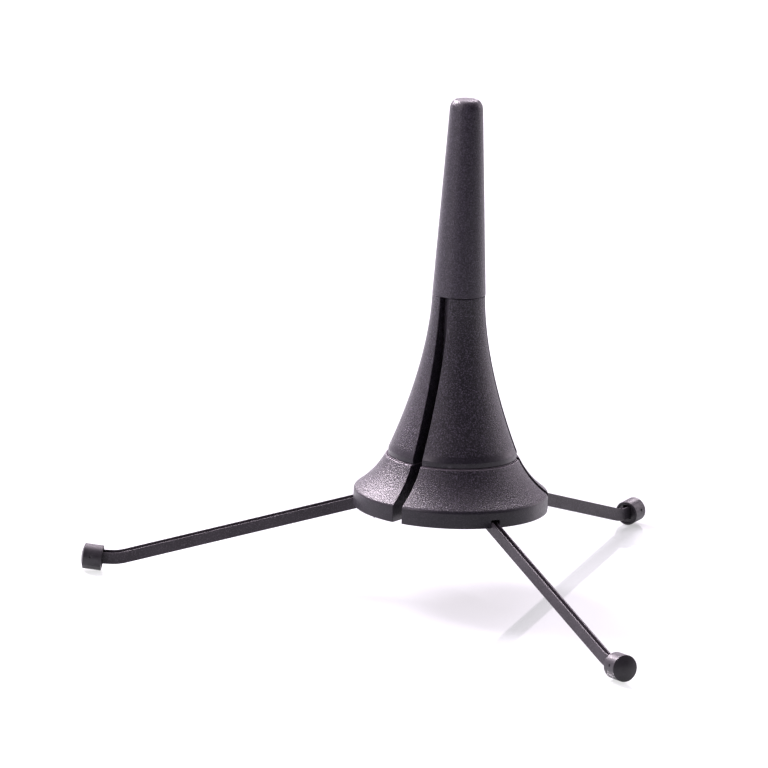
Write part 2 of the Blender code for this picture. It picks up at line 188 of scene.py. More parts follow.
def rounded_box(low, high, radius, matrix):
    """A box between two corners, with every edge rounded to radius where that isn't 0."""
    bm = bmesh.new()
    size = Vector(high) - Vector(low)
    middle = (Vector(high) + Vector(low)) / 2
    bmesh.ops.create_cube(bm, size=1.0, matrix=shift(*middle) @ Matrix.Diagonal((*(size * MM), 1.0)))
    if radius > 0:
        bmesh.ops.bevel(bm, geom=list(bm.edges), offset=radius * MM, segments=4, profile=0.5, affect="EDGES")
    bmesh.ops.transform(bm, matrix=matrix, verts=bm.verts)
    return bm


def merged(*parts):
    """Several separate closed shells as one bmesh."""
    whole = bmesh.new()
    for part in parts:
        mesh = bpy.data.meshes.new("part")
        part.to_mesh(mesh)
        part.free()
        whole.from_mesh(mesh)
        bpy.data.meshes.remove(mesh)
    return whole


def moved(bm, matrix):
    bmesh.ops.transform(bm, matrix=matrix, verts=bm.verts)
    return bm


def holder(bm):
    """A temporary object that holds bm for a boolean."""
    bmesh.ops.recalc_face_normals(bm, faces=bm.faces)
    mesh = bpy.data.meshes.new("holder")
    bm.to_mesh(mesh)
    bm.free()
    thing = bpy.data.objects.new("holder", mesh)
    bpy.context.scene.collection.objects.link(thing)
    return thing


def carve(bm, *steps):
    """The solid bm after each (operation, other solid) in turn."""
    things = [holder(bm)]
    for operation, other in steps:
        tool = holder(other)
        things.append(tool)
        modifier = things[0].modifiers.new(operation, "BOOLEAN")
        modifier.operation = operation
        modifier.solver = "EXACT"
        modifier.object = tool
    graph = bpy.context.evaluated_depsgraph_get()
    mesh = bpy.data.meshes.new_from_object(things[0].evaluated_get(graph))
    result = bmesh.new()
    result.from_mesh(mesh)
    bpy.data.meshes.remove(mesh)
    for thing in things:
        data = thing.data
        bpy.data.objects.remove(thing, do_unlink=True)
        bpy.data.meshes.remove(data)
    return result


def piece(name, bm, body, finish, *nodes, sharp=35.0):
    """A finished piece of the model in place of the CAD nodes it stands for."""
    bmesh.ops.remove_doubles(bm, verts=bm.verts, dist=0.000002)
    bmesh.ops.recalc_face_normals(bm, faces=bm.faces)
    mesh = bpy.data.meshes.new(name)
    bm.to_mesh(mesh)
    bm.free()
    mesh.shade_smooth()
    mesh.set_sharp_from_angle(angle=math.radians(sharp))
    mesh.materials.append(finish)
    thing = bpy.data.objects.new(name, mesh)
    bpy.context.scene.collection.objects.link(thing)
    weighted = thing.modifiers.new("Weighted", "WEIGHTED_NORMAL")
    weighted.keep_sharp = True
    weighted.weight = 80
    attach(thing, body)
    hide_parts(*nodes)
    return thing


# ---------------------------------------------------------------- materials

class Finish:
    """A procedural material, built node by node round a Principled shader. Lengths are in millimetres."""

    def __init__(self, name, colour, roughness, metallic=0.0, specular=0.5):
        self.material = bpy.data.materials.new(name)
        self.material.use_nodes = True
        self.tree = self.material.node_tree
        self.shader = self.tree.nodes["Principled BSDF"]
        self.shader.inputs["Base Color"].default_value = (*colour, 1.0)
        self.shader.inputs["Roughness"].default_value = roughness
        self.shader.inputs["Metallic"].default_value = metallic
        self.shader.inputs["Specular IOR Level"].default_value = specular
        self.colour = colour
        self.place = self.add("ShaderNodeTexCoord").outputs["Object"]
        self.bumps = None

    def add(self, kind, inputs=None, **settings):
        node = self.tree.nodes.new(kind)
        for key, value in settings.items():
            setattr(node, key, value)
        for key, value in (inputs or {}).items():
            if isinstance(value, bpy.types.NodeSocket):
                self.tree.links.new(value, node.inputs[key])
            else:
                node.inputs[key].default_value = value
        return node

    def maths(self, operation, a, b=0.0):
        return self.add("ShaderNodeMath", {0: a, 1: b}, operation=operation).outputs[0]

    def grain(self, size, detail=3.0, roughness=0.55, stretch=(1.0, 1.0, 1.0)):
        """Noise from 0 to 1 whose features are about size across."""
        place = self.place
        if stretch != (1.0, 1.0, 1.0):
            place = self.add("ShaderNodeMapping", {"Vector": place, "Scale": stretch}).outputs[0]
        inputs = {"Vector": place, "Scale": 1.0 / (size * MM), "Detail": detail, "Roughness": roughness}
        return self.add("ShaderNodeTexNoise", inputs).outputs["Fac"]

    def cells(self, size):
        """The distance to the nearest of scattered points about size apart."""
        inputs = {"Vector": self.place, "Scale": 1.0 / (size * MM)}
        return self.add("ShaderNodeTexVoronoi", inputs).outputs["Distance"]

    def spread(self, value, low, high, bottom=0.0, top=1.0):
        """value from low..high as bottom..top, smoothly."""
        inputs = {"Value": value, "From Min": low, "From Max": high, "To Min": bottom, "To Max": top}
        return self.add("ShaderNodeMapRange", inputs, interpolation_type="SMOOTHSTEP").outputs[0]

    def height(self):
        """The height above the origin, in millimetres."""
        parts = self.add("ShaderNodeSeparateXYZ", {"Vector": self.place})
        return self.maths("MULTIPLY", parts.outputs["Z"], 1 / MM)

    def mix(self, share, a, b):
        return self.add("ShaderNodeMix", {"Factor": share, 6: a, 7: b}, data_type="RGBA").outputs[2]

    def tint(self, share, colour):
        """Moves the base colour towards another colour, by a share that varies over the surface."""
        links = self.shader.inputs["Base Color"].links
        now = links[0].from_socket if links else (*self.colour, 1.0)
        self.tree.links.new(self.mix(share, now, (*colour, 1.0)), self.shader.inputs["Base Color"])

    def edges(self, low=0.52, high=0.60, strength=0.6):
        """How far a point is on a convex edge, for wear and catching light."""
        point = self.add("ShaderNodeNewGeometry").outputs["Pointiness"]
        return self.spread(point, low, high, 0.0, strength)

    def bump(self, height, strength, depth):
        """Adds relief of the given depth on top of what is there."""
        inputs = {"Height": height, "Strength": strength, "Distance": depth * MM}
        if self.bumps:
            inputs["Normal"] = self.bumps
        self.bumps = self.add("ShaderNodeBump", inputs).outputs[0]

    def rough(self, value):
        """Varies the roughness over the surface."""
        self.tree.links.new(value, self.shader.inputs["Roughness"])

    def done(self):
        if self.bumps:
            self.tree.links.new(self.bumps, self.shader.inputs["Normal"])
        return self.material


def make_body_black():
    """Moulded plastic with a sparkling grain on the cone and flange, smoother on the collar and the rim. The
    sparkle is partly bump and partly painted glints, light speckles in the colour, and the lip carries a
    painted highlight.
    """
    look = Finish("body_black", (0.0110, 0.0095, 0.0142), 0.40, specular=0.32)
    height = look.height()
    ragged = look.maths("ADD", height, look.maths("MULTIPLY", look.grain(1.3), 1.8))
    band = look.spread(ragged, 8.4, 9.3)
    collar = look.maths("SUBTRACT", 1.0, look.maths(
        "MULTIPLY", look.spread(height, 23.9, 24.4), look.spread(height, 31.0, 27.5)))
    mask = look.maths("MULTIPLY", look.maths("MAXIMUM", band, 0.22), look.maths("MAXIMUM", collar, 0.28))
    grains = look.maths("MULTIPLY", look.cells(0.66), -0.9)
    pits = look.maths("ADD", grains, look.maths("MULTIPLY", look.grain(0.52, 3.0, 0.65), 1.5))
    look.bump(look.grain(0.35, 3.0), 0.30, 0.020)
    look.bump(pits, mask, 0.13)
    mottle = look.grain(0.64, 4.0, 0.8)
    look.tint(look.maths("MULTIPLY", look.spread(mottle, 0.50, 0.42), look.maths("MULTIPLY", mask, 0.95)),
              (0.001, 0.0009, 0.0015))
    # Painted glints: light speckles on the grained areas stand in for sparkle from the lights.
    look.tint(look.maths("MULTIPLY", look.spread(mottle, 0.52, 0.60), look.maths("MULTIPLY", mask, 0.60)),
              (0.125, 0.106, 0.146))
    # Painted highlight: a light band at the lip's height stands in for the lip's bright edge line.
    lip = look.maths("MULTIPLY", look.spread(height, 23.70, 23.90), look.spread(height, 24.40, 24.20))
    look.tint(look.maths("MULTIPLY", lip, 0.75), (0.140, 0.122, 0.145))
    look.tint(look.spread(look.grain(9.0), 0.35, 0.75, 0.0, 0.25), (0.027, 0.024, 0.029))
    look.tint(look.edges(0.53, 0.62, 0.35), (0.10, 0.09, 0.105))
    look.rough(look.spread(look.grain(0.8, 2.0), 0.3, 0.7, 0.28, 0.42))
    return look.done()


def make_peg_black():
    """The peg's plastic: a finer mottle, a few faint handling marks and a crown lightened towards its top in
    speckled patches, partly rubbing and partly a painted sheen.
    """
    look = Finish("peg_black", (0.0230, 0.0195, 0.0285), 0.38, specular=0.40)
    fine = look.maths("ADD", look.maths("MULTIPLY", look.cells(0.80), -0.7), look.grain(0.75, 4.0, 0.7))
    look.bump(fine, 0.90, 0.110)
    mottle = look.grain(0.64, 4.0, 0.8)
    look.tint(look.spread(mottle, 0.51, 0.60, 0.0, 0.55), (0.085, 0.073, 0.100))
    look.tint(look.spread(mottle, 0.50, 0.40, 0.0, 0.80), (0.006, 0.005, 0.008))
    look.tint(look.spread(look.grain(7.0), 0.40, 0.75, 0.0, 0.25), (0.030, 0.027, 0.033))
    marks = look.grain(2.2, 1.0, stretch=(1.0, 1.0, 0.22))
    look.tint(look.spread(marks, 0.745, 0.80, 0.0, 0.35), (0.12, 0.11, 0.13))
    height = look.height()
    # Painted sheen with some rubbing: the crown is lightened towards its top, in speckled patches.
    crown = look.maths("MULTIPLY", look.spread(height, PEG_TOP - 4.2, PEG_TOP - 0.5),
                       look.spread(look.grain(0.9, 4.0), 0.30, 0.62))
    look.tint(look.maths("MULTIPLY", crown, 0.12), (0.085, 0.068, 0.072))
    look.rough(look.spread(look.grain(1.0, 2.0), 0.3, 0.7, 0.32, 0.44))
    return look.done()


def make_hub_black():
    """The hub's plastic, matt and lightly worn along its edges."""
    look = Finish("hub_black", (0.024, 0.022, 0.026), 0.48)
    look.bump(look.grain(0.5, 4.0), 0.35, 0.030)
    look.tint(look.spread(look.grain(4.0), 0.35, 0.7, 0.0, 0.3), (0.042, 0.038, 0.044))
    look.tint(look.edges(), (0.085, 0.080, 0.088))
    look.rough(look.spread(look.grain(1.2), 0.3, 0.7, 0.40, 0.56))
    return look.done()


def make_leg_paint():
    """Satin dark grey enamel on steel: a fine orange peel, dust nibs and a painted highlight along the edges.
    """
    look = Finish("leg_paint_grey", (0.024, 0.0213, 0.0255), 0.40, specular=0.15)
    look.bump(look.grain(0.55, 3.0), 0.20, 0.016)
    nibs = look.spread(look.cells(1.7), 0.10, 0.0)
    look.bump(nibs, 0.25, 0.020)
    look.tint(look.spread(look.grain(0.60, 2.0), 0.50, 0.66, 0.0, 0.55), (0.080, 0.071, 0.084))
    look.tint(look.spread(look.grain(14.0), 0.35, 0.7, 0.0, 0.30), (0.050, 0.044, 0.053))
    # Painted highlight: convex edges are lightened where they catch light.
    look.tint(look.edges(0.54, 0.66, 0.55), (0.17, 0.16, 0.17))
    look.rough(look.spread(look.grain(1.5), 0.3, 0.7, 0.30, 0.44))
    return look.done()


def make_cap_black():
    """Dipped rubber: nearly smooth, with soft ripples, a little dust and lighter rims."""
    look = Finish("cap_black", (0.017, 0.0150, 0.0190), 0.38, specular=0.38)
    look.bump(look.grain(3.0, 1.0), 0.20, 0.050)
    look.bump(look.grain(0.55, 2.0), 0.12, 0.010)
    look.tint(look.spread(look.grain(3.5, 4.0), 0.45, 0.75, 0.0, 0.40), (0.036, 0.033, 0.038))
    look.tint(look.spread(look.grain(0.6, 2.0), 0.68, 0.82, 0.0, 0.30), (0.075, 0.070, 0.076))
    look.tint(look.edges(0.54, 0.66, 0.35), (0.075, 0.070, 0.076))
    look.rough(look.spread(look.grain(1.8), 0.3, 0.7, 0.32, 0.48))
    return look.done()


def make_nylon():
    """Natural nylon, slightly yellowed in patches."""
    look = Finish("nylon_white", (0.60, 0.58, 0.52), 0.42)
    look.bump(look.grain(0.5), 0.25, 0.015)
    look.tint(look.spread(look.grain(2.0), 0.35, 0.7, 0.0, 0.4), (0.48, 0.45, 0.38))
    look.rough(look.spread(look.grain(1.0), 0.3, 0.7, 0.36, 0.50))
    return look.done()


def make_steel():
    """Zinc-plated steel with fine marks along Z."""
    look = Finish("zinc_steel", (0.52, 0.52, 0.54), 0.30, metallic=1.0)
    look.bump(look.grain(0.5, 4.0, stretch=(1.0, 1.0, 0.15)), 0.25, 0.010)
    look.tint(look.spread(look.grain(1.6), 0.35, 0.7, 0.0, 0.5), (0.38, 0.38, 0.40))
    look.rough(look.spread(look.grain(0.9), 0.3, 0.7, 0.22, 0.42))
    return look.done()


def make_brass():
    """Turned brass with rings from the tool."""
    look = Finish("turned_brass", (0.70, 0.50, 0.22), 0.28, metallic=1.0)
    look.bump(look.grain(0.3, 3.0, stretch=(0.1, 0.1, 1.0)), 0.25, 0.010)
    look.tint(look.spread(look.grain(1.4), 0.35, 0.7, 0.0, 0.5), (0.48, 0.33, 0.14))
    look.rough(look.spread(look.grain(0.8), 0.3, 0.7, 0.22, 0.40))
    return look.done()


BODY_BLACK = make_body_black()
PEG_BLACK = make_peg_black()
HUB_BLACK = make_hub_black()
LEG_PAINT = make_leg_paint()
CAP_BLACK = make_cap_black()
NYLON = make_nylon()
STEEL = make_steel()
BRASS = make_brass()


# ---------------------------------------------------------------- the body and the peg

def flare(height):
    """The cone's outer radius, a horn that widens downwards from the seam."""
    down = (FLARE_TOP_Z - height) / FLARE_DROP
    return FLARE_TOP_RADIUS + FLARE_GROWTH * max(down, 0.0) ** FLARE_POWER


def body_outline():
    """The body's outer line from the seam to the rim's underside: horn, collar, groove with its bead, lip,
    hollow flange slope, rounded corner and rim band."""
    top = SEAM - 0.3
    line = [(11.95, top), (12.12, top - 0.06), (flare(top - 0.25), top - 0.25)]
    line += [(flare(h), h) for h in (top - 0.6 - (top - 28.9) * k / 64 for k in range(65))]
    collar = [(flare(28.0), 28.0, 0), (29.66, 26.9, 1.4), (29.70, 24.62, 0.22)]
    groove = [(29.25, 24.48, 0.07), (29.27, 24.34, 0.07), (29.98, 24.28, 0.12), (29.98, 23.96, 0.12),
              (29.25, 23.82, 0.12), (29.20, 22.95, 0.30)]
    lip = [(30.02, 22.90, 0.30), (30.20, 23.98, 0.20), (30.66, 24.02, 0.26), (31.00, 23.60, 0)]
    line += fillet(collar + groove + lip, step=22.0)
    start = Vector((31.0, 23.6))
    corner = Vector((RIM - RIM_CORNER, 6.7))
    bend = [corner + turn(Vector((RIM_CORNER, 0.0)), math.radians(a)) for a in (52, 43, 34, 25, 16, 8, 0)]
    chord = bend[0] - start
    inward = Vector((chord.y, -chord.x)).normalized()
    sag = 1.2
    for k in range(1, 30):
        share = k / 30
        line.append(tuple(start + chord * share + inward * sag * 4 * share * (1 - share)))
    line += [tuple(spot) for spot in bend]
    return line + fillet([(RIM, 6.0, 0), (RIM, 0.0, 0.4), (44.2, 0.0, 0)], step=22.0)


def sector(line, middle):
    """A third of the body: the outline turned from one slot to the next, with rounded slot edges."""
    bm = bmesh.new()
    edge, inner, steps = 0.30, 7.5, 72
    wall = SLOT / 2
    beside = wall + edge
    inward = [math.radians(90 * k / 5) for k in range(6)]
    half = math.radians(60)

    def left_edge(radius, height):
        reach = math.sqrt(radius ** 2 - beside ** 2)
        spots = []
        for t in inward:
            across = wall + edge * (1 - math.cos(t))
            along = reach - edge * (1 - math.sin(t))
            spot = turn(Vector((along, across)), -half)
            spots.append((spot.x, spot.y, height))
        return spots

    rows = []
    for radius, height in line:
        near = left_edge(radius, height)
        swing = half - math.asin(beside / radius)
        arc = [(radius * math.cos(a), radius * math.sin(a), height)
               for a in (-swing + 2 * swing * k / steps for k in range(1, steps))]
        far = [(x, -y, z) for x, y, z in reversed(near)]
        rows.append([bm.verts.new(Vector(p) * MM) for p in near + arc + far])
    for a, b in zip(rows, rows[1:]):
        for k in range(len(a) - 1):
            bm.faces.new((a[k], b[k], b[k + 1], a[k + 1]))

    start = turn(Vector((inner, wall)), -half)
    lean = math.atan2(start.y, start.x)
    inside = [(start.length * math.cos(lean * s), start.length * math.sin(lean * s))
              for s in (1, 0.5, 0, -0.5, -1)]
    high = [bm.verts.new(Vector((x, y, line[0][1])) * MM) for x, y in inside]
    low = [bm.verts.new(Vector((x, y, line[-1][1])) * MM) for x, y in inside]
    for k in range(4):
        bm.faces.new((high[k], low[k], low[k + 1], high[k + 1]))
    bm.faces.new([row[0] for row in rows] + [low[0], high[0]])
    bm.faces.new([row[-1] for row in rows] + [low[-1], high[-1]])
    bm.faces.new(rows[0] + list(reversed(high)))
    bm.faces.new(rows[-1] + list(reversed(low)))
    return moved(bm, about("Z", middle))


def azimuth(side):
    """The direction of a leg, round from +X."""
    return math.degrees(math.atan2(HINGES[side].y, HINGES[side].x))


def make_body():
    """One moulding: a core tube that ends in the peg's spigot, three sectors round it and what is cut out."""
    core = lathe(fillet([(CORE_RADIUS, LEDGE_Z, 0), (CORE_RADIUS, 99.6, 0), (8.1, 99.6, 0), (8.1, 118.0, 0.5),
                         (6.2, 118.0, 0.3), (6.2, 19.5, 0), (2.4, 19.5, 0.2), (2.4, LEDGE_Z, 0.2)]), 96)

    # The pocket inside the skin, with a rib left along each slot and a guide left on each side of each leg.
    skin = [(RIM - SHELL, -1.0), (CORE_RADIUS, -1.0), (CORE_RADIUS, 70.0)]
    skin += [(flare(h) - SHELL, h) for h in (70.0 - 44.0 * k / 16 for k in range(17))]
    skin += [(27.7, 19.5), (RIM - SHELL, 5.6)]
    ribs = merged(*[rounded_box((7.0, -RIB_SIDE, -2.0), (50.0, RIB_SIDE, 110.0), 0, about("Z", a))
                    for a in SLOT_ANGLES])
    guides = merged(*[rounded_box((25.6, low, -2.0), (50.0, low + 1.8, 110.0), 0, about("Z", azimuth(side)))
                      for side in HINGES for low in (-4.2, 2.4)])
    pocket = carve(lathe(skin, 144), ("DIFFERENCE", ribs), ("DIFFERENCE", guides))

    chamber = lathe([(0.0, -1.0), (25.0, -1.0), (25.0, LEDGE_Z), (0.0, LEDGE_Z)], 144)
    opening = fillet([(-NOTCH_HALF, -5.0, 0), (-NOTCH_HALF, 3.9, 0.5), (NOTCH_HALF, 3.9, 0.5),
                      (NOTCH_HALF, -5.0, 0)], closed=True)
    notches = merged(*[bar(opening, 39.0, 50.0, about("Z", azimuth(side))) for side in HINGES])

    # A nub of flash under the rim, where the mould closed.
    flash = lathe(fillet([(0.0, -0.5, 0), (0.35, -0.5, 0.3), (0.55, 0.4, 0), (0.0, 0.4, 0)]), 16)
    moved(flash, about("Z", 190.5) @ shift(44.0))

    line = body_outline()
    body = carve(core, *[("UNION", sector(line, a + 60.0)) for a in SLOT_ANGLES], ("DIFFERENCE", chamber),
                 ("DIFFERENCE", notches), ("DIFFERENCE", pocket), ("UNION", flash))
    piece("bell_body_shell", body, "stand_body", BODY_BLACK, "bell_body")


def make_peg():
    """A tapered tube, closed at the crown, that sits on the body's seam."""
    crown = PEG_TOP - CROWN_HEIGHT
    outer = [(0.0, PEG_TOP)]
    outer += [(CROWN_FLAT + CROWN_WIDTH * math.sin(a), crown + CROWN_HEIGHT * math.cos(a))
              for a in (math.pi * k / 32 for k in range(17))]
    foot = SEAM + 0.5
    edge = CROWN_FLAT + CROWN_WIDTH
    widening = FLARE_TOP_RADIUS - edge
    outer += [(edge + widening * s, crown + (foot - crown) * s) for s in (k / 60 for k in range(1, 61))]
    outer += fillet([(FLARE_TOP_RADIUS, foot, 0), (12.27, SEAM, 0.14), (11.6, SEAM, 0)], step=22.0)[1:]
    hollow = fillet([(8.4, SEAM, 0.2), (8.4, 120.0, 0.3), (5.25, crown, 1.0), (0.0, crown + 1.0, 0)])
    piece("peg_shell", lathe(outer + hollow, 144), "stand_body", PEG_BLACK, "peg")


# ---------------------------------------------------------------- the hub and what holds it

def make_hub():
    """A disc with a fork for each leg, bored for the pins and for the insert."""
    hub = lathe(fillet([(0.0, 0.0, 0), (13.2, 0.0, 0.6), (13.2, 13.5, 0.4), (0.0, 13.5, 0)]), 128)
    steps = []
    for side in HINGES:
        place = about("Z", azimuth(side))
        steps.append(("UNION", rounded_box((5.0, -6.25, 1.5), (23.0, 6.25, 13.0), 0.9, place)))
    for side in HINGES:
        place = about("Z", azimuth(side))
        steps.append(("DIFFERENCE", rounded_box((14.6, -2.2, -1.0), (30.0, 2.2, 20.0), 0.3, place)))
        bore = moved(lathe([(0.0, -8.0), (PIN_BORE, -8.0), (PIN_BORE, 8.0), (0.0, 8.0)], 32),
                     place @ shift(PIVOT_RADIUS, 0.0, PIVOT_Z) @ about("X", 90))
        steps.append(("DIFFERENCE", bore))
    steps.append(("DIFFERENCE", lathe([(0.0, 4.2), (3.35, 4.2), (3.35, 20.0), (0.0, 20.0)], 64)))
    piece("leg_hub_spider", carve(hub, *steps), "hub_body", HUB_BLACK, "leg_hub")


def make_bolt():
    """The centre screw with its socket and thread, its two washers and the insert it goes into."""
    pitch = 1.2
    thread = []
    for k in range(14):
        thread += [(2.0, 24.0 - pitch * k), (1.68, 24.0 - pitch * k - pitch / 2)]
    outline = fillet([(0.0, 47.0, 0), (3.9, 47.0, 0.5), (3.9, 44.0, 0.15), (2.0, 44.0, 0.25), (2.0, 26.0, 0)])
    bolt = lathe(outline + thread + [(1.5, 6.0), (0.0, 6.0)], 64)
    socket = moved(lathe([(0.0, -1.8), (1.9, -1.8), (1.9, 2.0), (0.0, 2.0)], 6), shift(z=47.0))
    piece("centre_screw", carve(bolt, ("DIFFERENCE", socket)), "hub_body", STEEL, "centre_bolt")
    washers = {
        "bolt_washer_plate": ((2.2, 5.6, 42.9, 43.7, 0.2), STEEL, "bolt_washer"),
        "thrust_washer_ring": ((2.6, 8.0, 13.8, 15.3, 0.3), NYLON, "thrust_washer"),
        "hub_thread_insert": ((2.1, 3.2, 4.5, 13.3, 0.2), BRASS, "hub_insert"),
    }
    for name, ((inner, outer, low, high, soft), finish, node) in washers.items():
        ring = fillet([(inner, low, soft), (outer, low, soft), (outer, high, soft), (inner, high, soft)],
                      closed=True)
        piece(name, lathe(ring, 96), "hub_body", finish, node)


def make_spring():
    """The return coil, with a closed turn at each end."""
    low, high, turns, flat = 20.3, 42.1, 8, 1.15
    coil, wire, sides = 4.6, 0.5, 12
    bm = bmesh.new()
    rings = []
    for k in range(turns * 40 + 1):
        at = k / 40
        if at < 1:
            z = low + flat * at
        elif at > turns - 1:
            z = high - flat * (turns - at)
        else:
            z = low + flat + (high - low - 2 * flat) * (at - 1) / (turns - 2)
        place = about("Z", 360.0 * at) @ shift(coil, 0.0, z)
        rings.append([bm.verts.new(place @ Vector((wire * MM * math.cos(a), 0.0, wire * MM * math.sin(a))))
                      for a in (2 * math.pi * j / sides for j in range(sides))])
    for a, b in zip(rings, rings[1:]):
        for k in range(sides):
            n = (k + 1) % sides
            bm.faces.new((a[k], a[n], b[n], b[k]))
    bm.faces.new(rings[0])
    bm.faces.new(list(reversed(rings[-1])))
    spring = piece("return_coil", bm, "stand_body", STEEL, "return_spring")
    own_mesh(spring)


# ---------------------------------------------------------------- the legs

def leg_section(low_wall):
    """The channel's section: the wall on the left looking outward is cut down by low_wall."""
    side, top, left = CHANNEL_HALF_WIDTH, CHANNEL_HALF_HEIGHT, CHANNEL_HALF_HEIGHT - low_wall
    inner, web = side - CHANNEL_WALL, CHANNEL_WALL - top
    return fillet([(-side, top, 0.30), (-side, -top, 0.85), (side, -top, 0.85), (side, left, 0.30),
                   (inner, left, 0.30), (inner, web, 0.40), (-inner, web, 0.40), (-inner, top, 0.30)],
                  closed=True, step=22.0)


def leg_path():
    """(distance out, height, slope in degrees) along the channel's middle, past the heel."""
    corner = -LEVEL / math.tan(math.radians(LEAN))
    reach = BEND * math.tan(math.radians(LEAN / 2))
    cos, sin = math.cos(math.radians(LEAN)), math.sin(math.radians(LEAN))
    run = corner / cos - reach
    stations = [(run * k / 60 * cos, -run * k / 60 * sin, LEAN) for k in range(61)]
    foot = Vector((corner + reach, LEVEL))
    for k in range(1, 13):
        angle = math.radians(LEAN * (1 - k / 12))
        out, height = foot.x - BEND * math.sin(angle), LEVEL + BEND * (1 - math.cos(angle))
        stations.append((out, height, math.degrees(angle)))
    return stations + [(foot.x + (LEG_END - foot.x) * k / 6, LEVEL, 0.0) for k in range(1, 7)]


def make_leg(side, hinge):
    """The channel, rounded behind the pin and with its left wall cut down past the fork, and its spacer."""
    body = side + "_leg"
    full, cut = leg_section(0.0), leg_section(LOW_WALL)
    stations = []
    for k in range(10):
        back = -3.09 * math.cos(math.radians(90 * k / 10))
        squeeze = math.sqrt(1 - (back / CHANNEL_HALF_HEIGHT) ** 2)
        stations.append((hinge @ about("Y", LEAN) @ shift(back), [(y, z * squeeze) for y, z in full]))
    for out, height, slope in leg_path():
        share = min(max((out - 11.0) / 3.0, 0.0), 1.0)
        section = [(y, high + (low - high) * share) for (y, high), (_, low) in zip(full, cut)]
        stations.append((hinge @ shift(out, 0.0, height) @ about("Y", slope), section))
    across = hinge @ about("X", 90)
    eye = moved(lathe([(0.0, -4.0), (PIN_BORE, -4.0), (PIN_BORE, 4.0), (0.0, 4.0)], 32), across)
    channel = carve(sweep(stations), ("DIFFERENCE", eye))
    piece(f"leg_channel_{side}", channel, body, LEG_PAINT, f"leg_{side}")

    ring = fillet([(PIN_BORE, -1.0, 0.1), (2.1, -1.0, 0.15), (2.1, 1.0, 0.15), (PIN_BORE, 1.0, 0.1)],
                  closed=True)
    piece(f"leg_spacer_{side}", moved(lathe(ring, 48), across), body, NYLON, f"leg_bush_{side}")


def make_cap(side, hinge):
    """A rubber cap: domed outer face, crisp rim, straight wall with two dimples, sunk inner face."""
    ball = (CAP_RADIUS ** 2 + CAP_RISE ** 2) / (2 * CAP_RISE)
    lean = math.asin(CAP_RADIUS / ball)
    dome = [(ball * math.sin(lean * s), CAP_LENGTH + CAP_RISE - ball * (1 - math.cos(lean * s)))
            for s in (k / 16 * 0.975 for k in range(17))]
    wall = fillet([(*dome[-1], 0), (CAP_RADIUS, CAP_LENGTH - 0.05, 0.12), (5.90, 4.4, 3.0),
                   (CAP_RADIUS, 0.0, 0.45), (5.0, 0.0, 0.30), (4.9, 0.9, 0.4), (0.0, 0.9, 0)], step=15.0)
    rest = FLOOR + CAP_RADIUS * math.cos(math.radians(CAP_TILT))
    start = hinge @ shift(CAP_START - PIVOT_RADIUS, 0.0, rest - PIVOT_Z)
    socket = rounded_box((157.8 - PIVOT_RADIUS, -2.2, LEVEL - 3.4), (LEG_END + 0.3, 2.2, LEVEL + 3.4), 0.4,
                         hinge)
    steps = [("DIFFERENCE", socket)]
    for across in (-1, 1):
        spot = start @ shift(CAP_LENGTH * 0.57, across * (CAP_RADIUS + 0.4), 1.8) @ about("X", -90 * across)
        dimple = lathe(fillet([(0.0, -1.0, 0), (0.70, -1.0, 0.35), (0.85, 1.0, 0), (0.0, 1.0, 0)]), 24)
        steps.append(("DIFFERENCE", moved(dimple, spot)))
    place = start @ about("Y", 90 - CAP_TILT)
    cap = carve(moved(lathe(dome + wall[1:], 112), place), *steps)
    piece(f"rubber_cap_{side}", cap, side + "_leg", CAP_BLACK, f"foot_cap_{side}")


def make_pin(side, hinge):
    """The headed pin through a fork and a leg, and the clip pushed onto its end."""
    head, end = PIN_HALF + 0.8, PIN_HALF + 1.4
    shank = fillet([(0.0, head, 0), (1.8, head, 0.4), (1.8, PIN_HALF, 0.1), (1.0, PIN_HALF, 0.1),
                    (1.0, -end, 0.3), (0.0, -end, 0)])
    across = hinge @ about("X", 90)
    piece(f"hinge_rivet_{side}", moved(lathe(shank, 48), across), "hub_body", STEEL, f"hinge_pin_{side}")
    ring = fillet([(1.1, -PIN_HALF - 0.5, 0.08), (2.4, -PIN_HALF - 0.4, 0.12), (2.4, -PIN_HALF, 0.12),
                   (1.1, -PIN_HALF - 0.1, 0.08)], closed=True)
    piece(f"push_clip_{side}", moved(lathe(ring, 48), across), "hub_body", STEEL, f"pin_clip_{side}")


make_body()
make_peg()
make_hub()
make_bolt()
make_spring()
for leg, pivot in HINGES.items():
    frame_of_leg = Matrix.Translation(pivot) @ about("Z", azimuth(leg))
    make_leg(leg, frame_of_leg)
    make_cap(leg, frame_of_leg)
    make_pin(leg, frame_of_leg)


# ---------------------------------------------------------------- the studio

# The camera stands 26.1 degrees round from the front leg. In this frame X is to the camera's right and Y is
# away from it. Places and sizes of the studio are in metres.
VIEW = about("Z", -26.1)
TABLE_HALF_WIDTH = 6.0
TABLE_FRONT = -0.60
TABLE_BACK = 9.0
LIGHT = (1.0, 0.88, 0.98)


def make_camera():
    """A long lens, a little above the crown's height, rolled slightly."""
    camera = bpy.data.objects.new("camera", bpy.data.cameras.new("camera"))
    bpy.context.scene.collection.objects.link(camera)
    camera.data.sensor_width = 36.0
    camera.data.lens = 231.7
    camera.data.clip_start = 0.05
    camera.data.clip_end = 60.0
    camera.matrix_world = (VIEW @ shift(-58.7, -2219.0, 582.13 + FLOOR) @ about("Z", -0.67)
                           @ about("X", 90 - 12.36) @ about("Z", 2.15))
    bpy.context.scene.camera = camera


